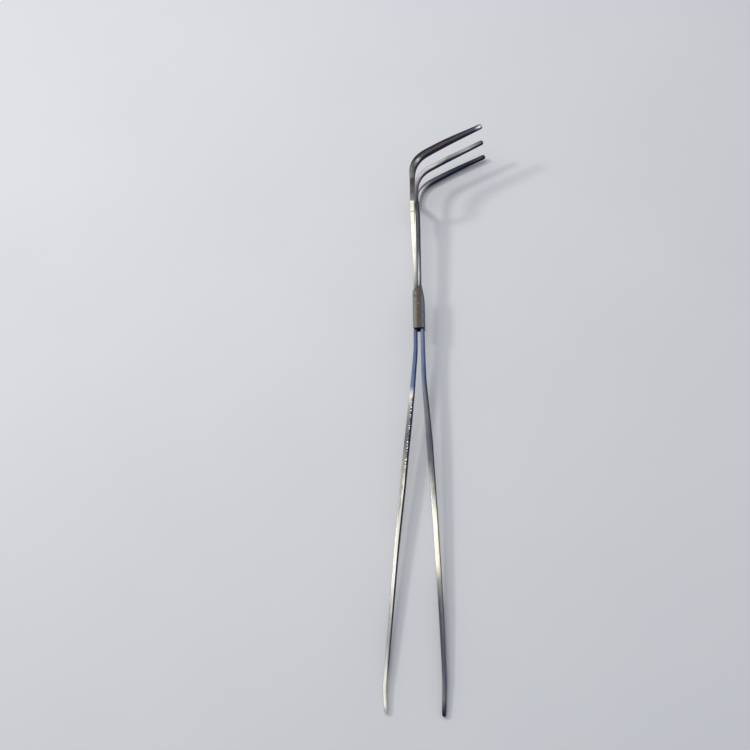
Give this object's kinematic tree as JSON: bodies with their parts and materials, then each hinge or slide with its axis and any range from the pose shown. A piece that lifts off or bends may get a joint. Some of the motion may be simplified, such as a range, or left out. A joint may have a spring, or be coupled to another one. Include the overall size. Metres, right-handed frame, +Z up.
{
  "type": "crucible tongs",
  "caption": "Long crucible tongs: crossed flat-bar arms with plain handles, a riveted flat box joint, and slender tapering prongs bent to one side that close round a crucible.",
  "frame": {"origin": "centre of the footprint on the bench, with the closed tongs resting on the lower prong and both handle ends", "axes": "+Y from the handles towards the prongs, +X towards the side the prongs point to, +Z up from the bench"},
  "size_m": [0.0932, 0.5066, 0.0483],
  "materials": {
    "bright_bar": "bright drawn stainless bar, edges softened and lightly scratched by use",
    "heat_tinted_prong": "stainless bar dulled grey-brown by furnace heat",
    "weld_metal": "rippled weld bead, dull and slightly oxidised",
    "joint_plate": "satin plate, brownish and rubbed bright on the edges",
    "rivet_steel": "peened and dressed nearly flush"
  },
  "bodies": {
    "fork_arm": {"right_handle": "bright_bar", "fork_shank": "bright_bar", "near_prong": "heat_tinted_prong", "far_prong": "heat_tinted_prong", "near_toe_weld": "weld_metal", "far_toe_weld": "weld_metal", "root_weld": "weld_metal", "front_cheek": "joint_plate", "rear_cheek": "joint_plate", "pivot_rivet": "rivet_steel", "front_washer": "rivet_steel", "rear_washer": "rivet_steel", "shank_rivet_upper": "rivet_steel", "shank_rivet_lower": "rivet_steel", "handle_rivet_upper": "rivet_steel", "handle_rivet_lower": "rivet_steel"},
    "middle_arm": {"middle_arm": "bright_bar"}
  },
  "joints": [
    {"name": "tongs_open", "type": "hinge", "parent": "fork_arm", "child": "middle_arm", "pos_m": [-0.01533, 0.08864, 0.01778], "axis": [0, 0.0466, -0.9989], "range_deg": [0, 24]}
  ]
}
